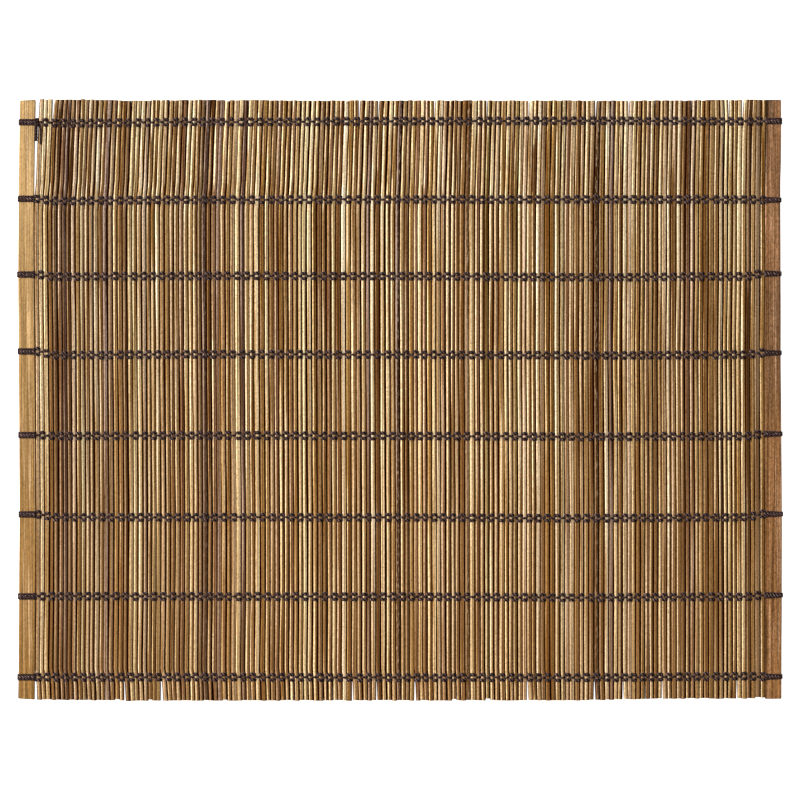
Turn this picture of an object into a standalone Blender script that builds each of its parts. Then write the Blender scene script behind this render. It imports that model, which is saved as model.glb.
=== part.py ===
"""A woven bamboo table mat, lying flat.

155 split-bamboo sticks lie side by side between two flat end slats.  Eight rows of dark twine cross
them, go round the outer edges of the slats and come back underneath, so that the mat rests on the twine.

Metres, +Z up, +X along the mat's long side.  The origin is the middle of the mat on the surface it lies on.
"""

import math
import random

import bmesh
import bpy

MM = 0.001

MAT_WIDTH = 450 * MM
MAT_LENGTH = 354.2 * MM
GAP = 0.3 * MM  # between one piece and the next

TWINE_THICK = 0.8 * MM  # height of a row above or below the sticks
WRAP_THICK = 0.6 * MM  # thickness of a row where it turns round a slat's edge
ROW_WIDTH = 5.1 * MM  # across the three strands of a row, over the sticks
ROW_WIDTH_ON_SLAT = 3.6 * MM

STICK_COUNT = 155
STICK_THICK = 2.1 * MM
STICK_SPREAD = 0.11  # how far a stick's width may be from the usual, as a share
STICK_SEED = 7
CROWN_SHARE = 0.46  # flat part of a stick's width, top and bottom
WEB_THICK = 0.9 * MM  # where neighbouring sticks meet
END_SLIT = 0.4 * MM  # between the ends of neighbouring sticks
END_JITTER = 0.5 * MM  # how unevenly the sticks are cut
SHORT_STICK_SHARE = 0.03  # sticks that end before their neighbours
SHORT_STICK_LOSS = 1.2 * MM
BEND_FROM_TOP = 100 * MM  # the sticks lean above this line and run straight below it

SLAT_CHAMFER = 0.35 * MM

STICK_BOTTOM = TWINE_THICK + GAP  # underside of the sticks and slats
STICK_TOP = STICK_BOTTOM + STICK_THICK
TWINE_LEVEL = STICK_TOP + GAP  # underside of the twine that lies on top

# Edges of the slats and of the field of sticks, in mm in from the mat's left or right side.
EDGE_COLUMNS = ("from_top", "left_out", "left_in", "first_stick", "last_stick", "right_in", "right_out")
EDGE_ROWS = (
    (0.0, 2.0, 10.8, 13.2, 10.05, 9.65, 1.5),
    (55.0, 1.3, 9.95, 10.9, 10.65, 10.15, 1.9),
    (100.0, 0.9, 9.95, 10.3, 10.9, 10.5, 1.7),
    (130.0, 0.9, 10.1, 10.4, 10.9, 10.5, 1.7),
    (200.0, 1.6, 10.4, 10.7, 10.85, 10.45, 1.3),
    (245.0, 1.7, 10.55, 10.9, 10.8, 10.4, 0.9),
    (300.0, 1.4, 10.75, 11.1, 10.75, 10.35, 0.9),
    (354.2, 0.9, 10.3, 11.6, 10.7, 10.3, 1.3),
)
EDGES = [dict(zip(EDGE_COLUMNS, row)) for row in EDGE_ROWS]

# How far each slat's cut ends stay inside the mat's length, in mm.
SLATS = (
    dict(name="end_slat_left", side="left", top=0.7, bottom=1.2),
    dict(name="end_slat_right", side="right", top=0.5, bottom=1.35),
)

# How far the sticks' cut ends stay inside the mat's length, in mm, along the mat.
END_LINE = (
    dict(from_left=0, top=0.0, bottom=1.2),
    dict(from_left=30, top=0.0, bottom=0.75),
    dict(from_left=65, top=0.8, bottom=0.2),
    dict(from_left=105, top=0.3, bottom=0.5),
    dict(from_left=160, top=0.75, bottom=0.45),
    dict(from_left=320, top=0.7, bottom=0.55),
    dict(from_left=380, top=0.8, bottom=1.5),
    dict(from_left=420, top=0.4, bottom=1.65),
    dict(from_left=450, top=0.0, bottom=1.65),
)

# Twine rows from the top edge down, and how far each rises from its own line at seven places, in mm.
ROW_COLUMNS = ("from_top", "left_slat", "left", "left_mid", "middle", "right_mid", "right", "right_slat")
ROW_LINES = (
    (13.4, -0.4, -1.0, -0.2, 0.2, 0.5, 0.1, 0.3),
    (59.4, 0.6, -0.6, 0.0, 0.2, 0.2, 0.2, -0.1),
    (104.4, 1.1, -0.1, 0.3, 0.1, -0.5, 0.0, 1.6),
    (150.4, 1.9, -0.3, 0.2, 0.0, -0.5, -0.1, 1.0),
    (198.2, 0.5, 0.0, 0.3, 0.0, -0.4, -0.1, 1.2),
    (246.0, 1.7, 0.0, 0.0, -0.1, -0.6, 0.0, 1.9),
    (292.7, 0.2, 0.3, 0.1, 0.0, -0.5, 0.0, 0.9),
    (339.9, -0.1, -0.1, 0.0, -0.3, -0.3, 0.4, 0.2),
)
ROWS = [dict(zip(ROW_COLUMNS, line)) for line in ROW_LINES]
# Where those rises are read, in mm from the middle of the mat.
ROW_STATIONS = (
    dict(column="left_slat", x=-213, on_slat=True),
    dict(column="left", x=-203, on_slat=False),
    dict(column="left_mid", x=-110, on_slat=False),
    dict(column="middle", x=0, on_slat=False),
    dict(column="right_mid", x=110, on_slat=False),
    dict(column="right", x=203, on_slat=False),
    dict(column="right_slat", x=213, on_slat=True),
)

# The section of a row: three strands side by side.  `across` is a share of the half width, `height` of
# the twine's thickness.
STRAND_SECTION = (
    dict(across=-1.0, height=0.45),
    dict(across=-0.67, height=1.0),
    dict(across=-0.33, height=0.7),
    dict(across=0.0, height=1.0),
    dict(across=0.33, height=0.7),
    dict(across=0.67, height=1.0),
    dict(across=1.0, height=0.45),
)

KNOT_FROM_LEFT = 11.6 * MM
KNOT_SIZE = (1.9 * MM, 2.2 * MM, 0.9 * MM)  # half sizes
KNOT_SEGMENTS = 8
KNOT_RINGS = 5
TAIL_FROM_LEFT = 10.9 * MM
TAIL_LENGTH = 11.5 * MM
TAIL_WIDTH = 1.5 * MM
TAIL_LEAN = 0.5 * MM
TAIL_SIDES = 6
# The tail's sections, as shares of its length and width; its end is cut on a slant.
TAIL_SECTIONS = (
    dict(along=0.0, width=1.0, slant=0.0),
    dict(along=0.6, width=0.88, slant=0.0),
    dict(along=1.0, width=0.8, slant=1.0),
)

SMOOTH_BELOW = math.radians(50)  # faces that meet at less than this are shaded as one round surface


def clear_scene():
    for thing in list(bpy.data.objects):
        bpy.data.objects.remove(thing, do_unlink=True)


def material(name, colour, roughness):
    made = bpy.data.materials.new(name)
    made.use_nodes = True
    shader = made.node_tree.nodes["Principled BSDF"]
    shader.inputs["Base Color"].default_value = (*colour, 1.0)
    shader.inputs["Roughness"].default_value = roughness
    shader.inputs["Metallic"].default_value = 0.0
    return made


def read_table(table, along, column, at):
    """The value of a column at a place between two rows of a table, in the table's own units."""
    before = table[0]
    for row in table[1:]:
        if at <= row[along]:
            share = (at - before[along]) / (row[along] - before[along])
            return before[column] + share * (row[column] - before[column])
        before = row
    return before[column]


def y_at(from_top):
    return MAT_LENGTH / 2 - from_top


def edge_x(column, y):
    """The x of a slat's edge, or of the field's first or last stick, at a place y along the sticks."""
    inset = MM * read_table(EDGES, "from_top", column, (MAT_LENGTH / 2 - y) / MM)
    if column in ("last_stick", "right_in", "right_out"):
        return MAT_WIDTH / 2 - inset
    return inset - MAT_WIDTH / 2


def end_inset(side, x):
    return MM * read_table(END_LINE, "from_left", side, (x + MAT_WIDTH / 2) / MM)


def add_object(name, mesh, finish):
    bmesh.ops.recalc_face_normals(mesh, faces=mesh.faces)
    data = bpy.data.meshes.new(name)
    mesh.to_mesh(data)
    mesh.free()
    data.shade_smooth()
    data.set_sharp_from_angle(angle=SMOOTH_BELOW)
    data.materials.append(finish)
    made = bpy.data.objects.new(name, data)
    bpy.context.scene.collection.objects.link(made)
    return made


def bridge(mesh, ring_a, ring_b):
    """Quads between two closed rings of points that go the same way round."""
    for i in range(len(ring_a)):
        j = (i + 1) % len(ring_a)
        mesh.faces.new((ring_a[i], ring_a[j], ring_b[j], ring_b[i]))


# End slats ------------------------------------------------------------------------------------------


def build_slat(slat, finish):
    """A flat strip with eased long edges that follows the mat's slightly bowed side."""
    mesh = bmesh.new()
    low = STICK_BOTTOM
    high = STICK_TOP
    c = SLAT_CHAMFER
    ys = [y_at(row["from_top"] * MM) for row in EDGES]
    ys[0] -= slat["top"] * MM
    ys[-1] += slat["bottom"] * MM
    rings = []
    for y in ys:
        a, b = sorted((edge_x(slat["side"] + "_out", y), edge_x(slat["side"] + "_in", y)))
        outline = (
            (a + c, low),
            (b - c, low),
            (b, low + c),
            (b, high - c),
            (b - c, high),
            (a + c, high),
            (a, high - c),
            (a, low + c),
        )
        rings.append([mesh.verts.new((x, y, z)) for x, z in outline])
    for ring_a, ring_b in zip(rings, rings[1:]):
        bridge(mesh, ring_a, ring_b)
    mesh.faces.new(rings[0])
    mesh.faces.new(rings[-1])
    return add_object(slat["name"], mesh, finish)


# Sticks ---------------------------------------------------------------------------------------------


def cut_sticks():
    """One entry for each stick: its place across the field as two shares, and what its two ends lose."""
    chance = random.Random(STICK_SEED)
    widths = [1 + STICK_SPREAD * chance.uniform(-1, 1) for _ in range(STICK_COUNT)]
    total = sum(widths)
    sticks = []
    done = 0.0
    for width in widths:
        lost = {}
        for side in ("top", "bottom"):
            lost[side] = END_JITTER * chance.random()
            if chance.random() < SHORT_STICK_SHARE:
                lost[side] += SHORT_STICK_LOSS * chance.random()
        sticks.append(dict(left=done / total, right=(done + width) / total, **lost))
        done += width
    return sticks


def field_x(share, y):
    first = edge_x("first_stick", y)
    last = edge_x("last_stick", y)
    return first + share * (last - first)


def crown_points(mesh, x0, x1, y):
    """Top left, top right, bottom right and bottom left of a stick's flat crowns."""
    middle = (x0 + x1) / 2
    half = CROWN_SHARE * (x1 - x0) / 2
    return [
        mesh.verts.new((middle + side * half, y, z))
        for side, z in ((-1, STICK_TOP), (1, STICK_TOP), (1, STICK_BOTTOM), (-1, STICK_BOTTOM))
    ]


def web_points(mesh, x, y):
    """Top and bottom of the web between two sticks."""
    middle = (STICK_TOP + STICK_BOTTOM) / 2
    return [mesh.verts.new((x, y, middle + side * WEB_THICK / 2)) for side in (1, -1)]


def field_section(mesh, sticks, y):
    lines = [sticks[0]["left"]] + [stick["right"] for stick in sticks]
    webs = [web_points(mesh, field_x(share, y), y) for share in lines]
    crowns = [crown_points(mesh, field_x(s["left"], y), field_x(s["right"], y), y) for s in sticks]
    return dict(y=y, webs=webs, crowns=crowns)


def join_sections(mesh, a, b):
    """The ribbed top and underside, and the two outer sides, between two sections of the field."""
    for i in range(len(a["crowns"])):
        around_a = [a["webs"][i][0], *a["crowns"][i][:2], a["webs"][i + 1][0]]
        around_b = [b["webs"][i][0], *b["crowns"][i][:2], b["webs"][i + 1][0]]
        under_a = [a["webs"][i + 1][1], *a["crowns"][i][2:], a["webs"][i][1]]
        under_b = [b["webs"][i + 1][1], *b["crowns"][i][2:], b["webs"][i][1]]
        for line_a, line_b in ((around_a, around_b), (under_a, under_b)):
            for k in range(3):
                mesh.faces.new((line_a[k], line_a[k + 1], line_b[k + 1], line_b[k]))
    for side in (0, -1):
        mesh.faces.new((*a["webs"][side], *reversed(b["webs"][side])))


def stick_ends(mesh, sticks, section, side):
    """The ends that stand apart past an outer row of twine, and the web's edge between them."""
    outward = 1 if side == "top" else -1
    y = section["y"]
    middle_z = (STICK_TOP + STICK_BOTTOM) / 2
    insets = [stick[side] + end_inset(side, field_x(stick["left"], y)) for stick in sticks]
    least = min(insets)  # the longest stick reaches the mat's full length
    roots = []
    for stick, crown, inset in zip(sticks, section["crowns"], insets):
        flank = []
        for share, turn in ((stick["left"], 1), (stick["right"], -1)):
            x = field_x(share, y) + turn * END_SLIT / 2
            flank.append(mesh.verts.new((x, y, middle_z)))
        root = [flank[0], crown[0], crown[1], flank[1], crown[2], crown[3]]
        roots.append(root)
        middle = (field_x(stick["left"], y) + field_x(stick["right"], y)) / 2
        end_y = outward * (MAT_LENGTH / 2 - inset + least)
        end_middle = (field_x(stick["left"], end_y) + field_x(stick["right"], end_y)) / 2
        tip = [mesh.verts.new((v.co.x - middle + end_middle, end_y, v.co.z)) for v in root]
        bridge(mesh, root, tip)
        mesh.faces.new(tip)
    for i, (top, bottom) in enumerate(section["webs"]):
        edge = [top]
        if i < len(roots):
            edge += [roots[i][1], roots[i][0], roots[i][5]]
        edge.append(bottom)
        if i > 0:
            edge += [roots[i - 1][4], roots[i - 1][3], roots[i - 1][2]]
        mesh.faces.new(edge)


def build_reeds(finish):
    sticks = cut_sticks()
    mesh = bmesh.new()
    lines = (ROWS[0]["from_top"] * MM, BEND_FROM_TOP, ROWS[-1]["from_top"] * MM)
    sections = [field_section(mesh, sticks, y_at(line)) for line in lines]
    for a, b in zip(sections, sections[1:]):
        join_sections(mesh, a, b)
    stick_ends(mesh, sticks, sections[0], "top")
    stick_ends(mesh, sticks, sections[-1], "bottom")
    return add_object("reeds", mesh, finish)


# Twine ----------------------------------------------------------------------------------------------


def twine_station(mesh, row_y, x, z, outward, width, flat):
    """One section of a row: the inner face at (x, z), the strands standing off it along `outward`."""
    points = []
    for strand in STRAND_SECTION:
        height = 1.0 if flat else strand["height"]
        place = (x + outward[0] * height, row_y + strand["across"] * width / 2, z + outward[1] * height)
        points.append(mesh.verts.new(place))
    for side in (1, -1):
        points.append(mesh.verts.new((x, row_y + side * width / 2, z)))
    return points


def wrap_stations(mesh, side, row_y, edge):
    """Four sections that carry a row round a slat's outer edge, from the top run to the under run."""
    inner = edge + side * GAP
    steps = (
        dict(back=GAP, z=TWINE_LEVEL, out=0, up=TWINE_THICK, flat=False),
        dict(back=0, z=STICK_TOP, out=WRAP_THICK, up=GAP, flat=False),
        dict(back=0, z=STICK_BOTTOM, out=WRAP_THICK, up=-GAP, flat=False),
        dict(back=GAP, z=TWINE_THICK, out=0, up=-TWINE_THICK, flat=True),
    )
    return [
        twine_station(
            mesh,
            row_y,
            inner - side * step["back"],
            step["z"],
            (side * step["out"], step["up"]),
            ROW_WIDTH_ON_SLAT,
            step["flat"],
        )
        for step in steps
    ]


def twine_row(name, row, finish):
    """A closed band over the top of the mat, round both slats and back underneath."""
    mesh = bmesh.new()
    line = y_at(row["from_top"] * MM)
    left_y = line + row["left_slat"] * MM
    right_y = line + row["right_slat"] * MM
    left_wrap = wrap_stations(mesh, -1, left_y, edge_x("left_out", left_y))
    right_wrap = wrap_stations(mesh, 1, right_y, edge_x("right_out", right_y))
    over = []
    for station in ROW_STATIONS:
        width = ROW_WIDTH_ON_SLAT if station["on_slat"] else ROW_WIDTH
        y = line + row[station["column"]] * MM
        x = station["x"] * MM
        over.append(twine_station(mesh, y, x, TWINE_LEVEL, (0, TWINE_THICK), width, False))
    under = twine_station(mesh, line, 0, TWINE_THICK, (0, -TWINE_THICK), ROW_WIDTH, True)
    loop = [left_wrap[0], *over, *right_wrap, under, *reversed(left_wrap[1:])]
    for section_a, section_b in zip(loop, loop[1:] + loop[:1]):
        bridge(mesh, section_a, section_b)
    return add_object(name, mesh, finish)


def build_loose_end(finish):
    """The knot where the first row is tied, and the short end of twine hanging from it."""
    row = ROWS[0]
    line = y_at((row["from_top"] - row["left_slat"]) * MM)
    mesh = bmesh.new()
    made = bmesh.ops.create_uvsphere(mesh, u_segments=KNOT_SEGMENTS, v_segments=KNOT_RINGS, radius=1.0)
    knot = made["verts"]
    bmesh.ops.scale(mesh, vec=KNOT_SIZE, verts=knot)
    knot_place = (KNOT_FROM_LEFT - MAT_WIDTH / 2, line, TWINE_LEVEL + TWINE_THICK / 2)
    bmesh.ops.translate(mesh, vec=knot_place, verts=knot)
    tie = add_object("knot_guide", mesh, finish)

    mesh = bmesh.new()
    x = TAIL_FROM_LEFT - MAT_WIDTH / 2
    rings = []
    for section in TAIL_SECTIONS:
        middle = x - TAIL_LEAN * section["along"]
        half = TAIL_WIDTH / 2 * section["width"]
        slant = TAIL_WIDTH / 2 * section["slant"]
        ring = []
        for k in range(TAIL_SIDES):
            turn = 2 * math.pi * k / TAIL_SIDES
            y = line - TAIL_LENGTH * section["along"] - slant * math.cos(turn)
            z = TWINE_LEVEL + TWINE_THICK / 2 * (1 + math.sin(turn))
            ring.append(mesh.verts.new((middle + half * math.cos(turn), y, z)))
        rings.append(ring)
    for ring_a, ring_b in zip(rings, rings[1:]):
        bridge(mesh, ring_a, ring_b)
    mesh.faces.new(rings[0])
    mesh.faces.new(rings[-1])
    tail = add_object("tail_guide", mesh, finish)
    return tie, tail


def join_to(target, others):
    for other in others:
        other.hide_render = True
        other.display_type = "WIRE"
        join = target.modifiers.new("join " + other.name, "BOOLEAN")
        join.operation = "UNION"
        join.solver = "EXACT"
        join.object = other


def build_twine(finish):
    rows = [twine_row(f"twine_row_{number}", row, finish) for number, row in enumerate(ROWS, start=1)]
    join_to(rows[0], build_loose_end(finish))
    return rows


def main():
    clear_scene()
    pale_bamboo = material("pale_bamboo", (0.48, 0.30, 0.14), 0.55)
    brown_bamboo = material("brown_bamboo", (0.22, 0.13, 0.07), 0.55)
    reed_bamboo = material("reed_bamboo", (0.29, 0.18, 0.085), 0.5)
    dark_twine = material("dark_twine", (0.035, 0.022, 0.022), 0.6)
    for slat, bamboo in zip(SLATS, (pale_bamboo, brown_bamboo)):
        build_slat(slat, bamboo)
    build_reeds(reed_bamboo)
    build_twine(dark_twine)


main()
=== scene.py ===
import math
import random

import bmesh
import bpy
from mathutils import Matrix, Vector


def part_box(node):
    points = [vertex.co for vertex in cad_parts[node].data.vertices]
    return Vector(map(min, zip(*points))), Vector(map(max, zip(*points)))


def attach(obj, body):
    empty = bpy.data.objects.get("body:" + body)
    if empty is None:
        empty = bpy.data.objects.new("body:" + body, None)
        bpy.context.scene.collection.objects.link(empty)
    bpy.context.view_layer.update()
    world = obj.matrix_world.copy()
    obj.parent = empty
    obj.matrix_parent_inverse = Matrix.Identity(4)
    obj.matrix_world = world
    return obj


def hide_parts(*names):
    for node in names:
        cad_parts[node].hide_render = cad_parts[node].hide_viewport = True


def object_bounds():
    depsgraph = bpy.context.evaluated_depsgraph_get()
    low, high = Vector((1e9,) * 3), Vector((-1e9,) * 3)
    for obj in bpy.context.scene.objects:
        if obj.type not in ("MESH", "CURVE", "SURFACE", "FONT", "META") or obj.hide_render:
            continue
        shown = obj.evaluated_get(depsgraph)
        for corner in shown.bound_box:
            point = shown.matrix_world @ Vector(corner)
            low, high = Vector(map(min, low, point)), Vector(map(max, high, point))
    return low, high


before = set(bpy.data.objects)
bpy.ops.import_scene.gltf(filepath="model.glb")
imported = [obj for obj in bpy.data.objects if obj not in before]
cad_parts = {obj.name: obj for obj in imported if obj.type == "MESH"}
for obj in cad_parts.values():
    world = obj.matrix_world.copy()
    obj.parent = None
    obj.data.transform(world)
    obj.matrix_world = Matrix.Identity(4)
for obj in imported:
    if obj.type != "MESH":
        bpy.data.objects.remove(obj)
cadLow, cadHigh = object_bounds()

mm = 0.001
matWidth = cadHigh.x - cadLow.x
matLength = cadHigh.y - cadLow.y
reedLow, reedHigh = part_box("reeds")
stickBottom, stickTop = reedLow.z, reedHigh.z
stickMiddle = (stickBottom + stickTop) / 2
stickHalfThick = (stickTop - stickBottom) / 2
lightLevel = 1.35  # what falls on a flat top, against plain white

# edges of the slats and of the stick field, in mm in from the mat's sides
sideColumns = ("fromTop", "leftOut", "leftIn", "firstStick", "lastStick", "rightIn", "rightOut")
sideRows = (
    (0, 1.5, 10.8, 13.2, 9.6, 9.65, 0.9),
    (20, 1.1, 10.45, 12.2, 9.8, 9.85, 0.85),
    (35, 0.85, 10.15, 11.45, 10.1, 10.15, 1.0),
    (50, 0.7, 9.95, 11.05, 10.35, 10.4, 1.35),
    (57, 0.65, 9.92, 10.2, 10.35, 10.4, 1.3),
    (64, 0.6, 9.9, 9.75, 10.35, 10.4, 1.3),
    (100, 0.35, 9.85, 9.85, 10.4, 10.45, 1.2),
    (150, 0.7, 10.35, 10.35, 10.9, 10.95, 1.15),
    (200, 1.05, 10.7, 10.7, 10.7, 10.75, 0.7),
    (245, 1.2, 10.95, 10.95, 10.45, 10.5, 0.4),
    (290, 0.9, 10.85, 10.85, 10.4, 10.45, 0.45),
    (336, 0.65, 10.45, 10.4, 10.25, 10.3, 0.65),
    (343, 0.5, 10.35, 11.4, 10.25, 10.3, 0.7),
    (355, 0.35, 10.2, 11.8, 10.3, 10.35, 0.75),
)
sideEdges = [dict(zip(sideColumns, row)) for row in sideRows]
# how far the cut ends stay inside the mat's length, in mm
endLine = (
    dict(fromLeft=0, top=0.0, bottom=1.2),
    dict(fromLeft=30, top=0.0, bottom=0.75),
    dict(fromLeft=65, top=0.8, bottom=0.2),
    dict(fromLeft=105, top=0.3, bottom=0.5),
    dict(fromLeft=160, top=0.75, bottom=0.45),
    dict(fromLeft=320, top=0.7, bottom=0.55),
    dict(fromLeft=380, top=0.8, bottom=1.5),
    dict(fromLeft=420, top=0.4, bottom=1.65),
    dict(fromLeft=450, top=0.0, bottom=1.65),
)
# rows of twine from the top edge down, how far each rises from its own line along the mat,
# and how far its outer strands stand from the middle one at the right slat's outer edge, in mm
lineColumns = (
    "fromTop", "leftSlat", "left", "leftMid", "middle", "rightMid", "right", "rightSlat", "wrapEnd",
)
lineRows = (
    (13.4, -0.4, -1.0, -0.2, 0.2, 0.5, 0.1, 0.3, 1.2),
    (59.4, 0.6, -0.6, 0.0, 0.2, 0.2, 0.2, -0.1, 0.72),
    (104.4, 1.1, -0.1, 0.3, 0.1, -0.5, 0.0, 1.6, 0.72),
    (150.4, 1.9, -0.3, 0.2, 0.0, -0.5, -0.1, 1.0, 0.72),
    (198.2, 0.5, 0.0, 0.3, 0.0, -0.4, -0.1, 1.2, 0.72),
    (246.0, 1.7, 0.0, 0.0, -0.1, -0.6, 0.0, 1.9, 0.72),
    (292.7, 0.2, 0.3, 0.1, 0.0, -0.5, 0.0, 0.9, 0.72),
    (339.9, -0.1, -0.1, 0.0, -0.3, -0.3, 0.4, 0.2, 0.72),
)
twineLines = [dict(zip(lineColumns, row)) for row in lineRows]
# where those rises hold, in mm from the mat's middle
lineStations = dict(
    leftSlat=-213, left=-203, leftMid=-110, middle=0, rightMid=110, right=203, rightSlat=213,
)


def eased(share):
    return share * share * (3 - 2 * share)


def readTable(table, along, column, at):
    before = table[0]
    for row in table[1:]:
        if at <= row[along]:
            share = max(0.0, (at - before[along]) / (row[along] - before[along]))
            return before[column] + eased(share) * (row[column] - before[column])
        before = row
    return before[column]


def edgeX(column, y):
    inset = mm * readTable(sideEdges, "fromTop", column, (matLength / 2 - y) / mm)
    onRight = column in ("lastStick", "rightIn", "rightOut")
    return matWidth / 2 - inset if onRight else inset - matWidth / 2


def endInset(side, x):
    return mm * readTable(endLine, "fromLeft", side, (x + matWidth / 2) / mm)


def lineY(row, x):
    stations = [dict(x=place, rise=row[column]) for column, place in lineStations.items()]
    return matLength / 2 - row["fromTop"] * mm + mm * readTable(stations, "x", "rise", x / mm)


def fieldX(share, y):
    first = edgeX("firstStick", y)
    return first + share * (edgeX("lastStick", y) - first)


def linear(*tone):
    # the tone as it reads under the studio light, taken back to a surface colour
    return tuple(((c / 255 + 0.055) / 1.055) ** 2.4 / lightLevel for c in tone)


def put(tree, kind, inputs=None, **settings):
    node = tree.nodes.new(kind)
    for key, value in settings.items():
        setattr(node, key, value)
    for key, value in (inputs or {}).items():
        if isinstance(value, bpy.types.NodeSocket):
            tree.links.new(value, node.inputs[key])
        else:
            node.inputs[key].default_value = value
    return node


def calc(tree, operation, a, b=0.0, c=0.0):
    return put(tree, "ShaderNodeMath", {0: a, 1: b, 2: c}, operation=operation).outputs[0]


def vectorCalc(tree, operation, a, b):
    return put(tree, "ShaderNodeVectorMath", {0: a, 1: b}, operation=operation).outputs[0]


def scaled(tree, vector, factor):
    inputs = {0: vector, "Scale": factor}
    return put(tree, "ShaderNodeVectorMath", inputs, operation="SCALE").outputs[0]


def xyzOf(tree, vector):
    return put(tree, "ShaderNodeSeparateXYZ", {0: vector}).outputs


def joined(tree, x, y, z):
    return put(tree, "ShaderNodeCombineXYZ", {0: x, 1: y, 2: z}).outputs[0]


# materials

def newFinish(name):
    finish = bpy.data.materials.new(name)
    finish.use_nodes = True
    finish.node_tree.nodes.clear()
    return finish, finish.node_tree


def streakNoise(tree, coords, seed, stretch, detail, rough):
    moved = vectorCalc(tree, "MULTIPLY", coords, stretch)
    if seed is not None:  # each stick reads the pattern at a place of its own
        shift = joined(tree, calc(tree, "MULTIPLY", seed, 91.0), seed, seed)
        moved = vectorCalc(tree, "ADD", moved, shift)
    inputs = {"Vector": moved, "Scale": 1.0, "Detail": detail, "Roughness": rough}
    return put(tree, "ShaderNodeTexNoise", inputs).outputs["Fac"]


def ramp(tree, value, low, high, outLow=0.0, outHigh=1.0):
    kind = "ShaderNodeMapRange"
    inputs = {"Value": value, "From Min": low, "From Max": high, "To Min": outLow, "To Max": outHigh}
    return put(tree, kind, inputs, interpolation_type="SMOOTHSTEP").outputs["Result"]


def mixColour(tree, share, a, b, blend="MIX"):
    node = put(tree, "ShaderNodeMix", data_type="RGBA", blend_type=blend)
    for index, value in ((0, share), (6, a), (7, b)):
        if isinstance(value, bpy.types.NodeSocket):
            tree.links.new(value, node.inputs[index])
        else:
            node.inputs[index].default_value = value if index == 0 else (*value, 1.0)
    return node.outputs[2]


def tinted(tree, colour, tint):
    return mixColour(tree, 1.0, colour, tint, "MULTIPLY")


def shade(tree, colour, factor):
    grey = put(tree, "ShaderNodeCombineColor", {0: factor, 1: factor, 2: factor}).outputs[0]
    return tinted(tree, colour, grey)


def shadeBy(tree, colour, value, reach, shades):
    return shade(tree, colour, ramp(tree, value, *reach, *shades))


def attribute(tree, name, output="Fac"):
    return put(tree, "ShaderNodeAttribute", attribute_name=name).outputs[output]


def endGrain(tree, coords, colour, pale, dark):
    normal = put(tree, "ShaderNodeNewGeometry").outputs["True Normal"]
    facing = calc(tree, "ABSOLUTE", xyzOf(tree, normal)[1])
    pores = streakNoise(tree, coords, None, (5200, 5200, 5200), 2.0, 0.5)
    cut = mixColour(tree, ramp(tree, pores, 0.4, 0.6), dark, pale)
    return mixColour(tree, ramp(tree, facing, 0.6, 0.75), colour, cut)


def finishUp(tree, colour, height, bumpDepth, roughLow, roughHigh, sheen=0.0, specular=0.3):
    bump = put(tree, "ShaderNodeBump", {"Height": height, "Distance": bumpDepth, "Strength": 1.0})
    rough = ramp(tree, height, 0.3, 0.7, roughHigh, roughLow)
    inputs = {"Base Color": colour, "Roughness": rough, "Normal": bump.outputs[0]}
    inputs.update({"Sheen Weight": sheen, "Sheen Roughness": 0.4, "Specular IOR Level": specular})
    shader = put(tree, "ShaderNodeBsdfPrincipled", inputs)
    put(tree, "ShaderNodeOutputMaterial", {"Surface": shader.outputs[0]})


reedFinish = dict(
    # patterns: changes per metre across, along and through a stick, then detail and roughness
    fine=((1350, 7, 1350), 3.0, 0.6),
    fibre=((1900, 1000, 1900), 2.0, 0.6),
    streak=((1000, 5, 1000), 2.0, 0.5),
    drift=((60, 7, 60), 1.0, 0.5),
    fleck=((2100, 300, 2100), 2.0, 0.5),
    # between which values of its pattern each of them fills in
    splitReach=(1.86, 2.0),
    fineReach=(0.41, 0.55),
    fibreReach=(0.32, 0.68),
    fleckReach=(0.64, 0.74),
    scratchReach=(0.44, 0.36),
    flankReach=(0.62, 0.88),
    # how far the lines along a stick stray from side to side
    splitWander=2.6,
    shoulderWander=0.9,
    flankWander=0.3,
    fibreShade=(0.64, 1.30),
    fleckShare=0.6,
    shadedTint=(0.46, 0.345, 0.22),
    litTint=(1.11, 1.16, 1.24),
    # painted shadow in the gap between two sticks; the dark specks take the same colour
    groove=linear(30, 7, 0),
    shoulderSheen=0.36,  # painted sheen: how much paler the shoulders are than the middle
    # painted shade on a stick's flanks, browner towards the gap
    flank=(0.95, 0.76, 0.45),
    grooveReach=(0.79, 0.94),  # how far round the side the painted shade starts and fills
    scratch=linear(196, 170, 140),
    cutPale=linear(196, 168, 124),
    cutDark=linear(92, 66, 38),
    top=(1.0, 1.0, 1.0),
    bottom=(1.0, 0.92, 0.83),
    dulled=linear(150, 112, 70),  # what the lower end of the sticks fades towards
    dullShare=0.24,
    bump=0.05 * mm,
    rough=(0.5, 0.7),
)


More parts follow.
